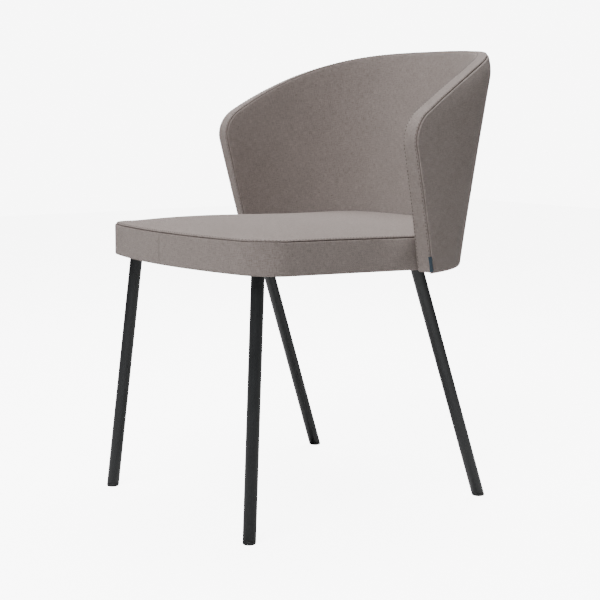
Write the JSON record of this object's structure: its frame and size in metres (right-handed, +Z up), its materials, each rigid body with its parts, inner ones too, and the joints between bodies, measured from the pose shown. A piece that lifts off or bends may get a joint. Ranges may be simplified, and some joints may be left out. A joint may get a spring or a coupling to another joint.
{
  "type": "dining chair",
  "caption": "Upholstered dining armchair: wrap-around padded shell, cushioned seat with a boxed edge, straight round splayed steel tube legs with glides.",
  "frame": {"origin": "on the floor, under the middle of the chair's overall width and depth", "axes": "+Z up; -Y towards the front, the way the sitter faces; +X to the sitter's left"},
  "size_m": [0.567, 0.647, 0.798],
  "materials": {
    "upholstery_fabric": "fine plain-woven upholstery cloth, taupe grey, matt with a faint sheen",
    "foam": "cream cut foam",
    "plywood": "raw birch plywood",
    "black_steel": "black satin powder coat",
    "zinc_steel": "zinc-plated steel",
    "black_plastic": "black moulded plastic",
    "black_nonwoven": "thin black non-woven sheet",
    "label_cloth": "plain dark blue-grey woven tape, no marks"
  },
  "bodies": {
    "root": {"shell_cover_outer": "upholstery_fabric", "shell_cover_inner": "upholstery_fabric", "shell_cover_band": "upholstery_fabric", "shell_foam_outer": "foam", "shell_foam_inner": "foam", "shell_foam_rim": "foam", "shell_core": "plywood", "shell_bolt_side_left": "zinc_steel", "shell_bolt_side_right": "zinc_steel", "shell_bolt_back_left": "zinc_steel", "shell_bolt_back_right": "zinc_steel", "shell_sleeve_side_left": "zinc_steel", "shell_sleeve_side_right": "zinc_steel", "shell_sleeve_back_left": "zinc_steel", "shell_sleeve_back_right": "zinc_steel", "seat_cover_top": "upholstery_fabric", "seat_cover_boxing": "upholstery_fabric", "seat_foam": "foam", "seat_board": "plywood", "seat_dust_cover": "black_nonwoven", "side_bar_left": "black_steel", "side_bar_right": "black_steel", "cross_bar_front": "black_steel", "cross_bar_rear": "black_steel", "side_bar_left_screw_1": "zinc_steel", "side_bar_left_screw_2": "zinc_steel", "side_bar_right_screw_1": "zinc_steel", "side_bar_right_screw_2": "zinc_steel", "cross_bar_front_screw_1": "zinc_steel", "cross_bar_front_screw_2": "zinc_steel", "cross_bar_rear_screw_1": "zinc_steel", "cross_bar_rear_screw_2": "zinc_steel", "leg_front_left": "black_steel", "leg_front_right": "black_steel", "leg_rear_left": "black_steel", "leg_rear_right": "black_steel", "glide_front_left": "black_plastic", "glide_front_right": "black_plastic", "glide_rear_left": "black_plastic", "glide_rear_right": "black_plastic", "side_label": "label_cloth"}
  },
  "joints": []
}
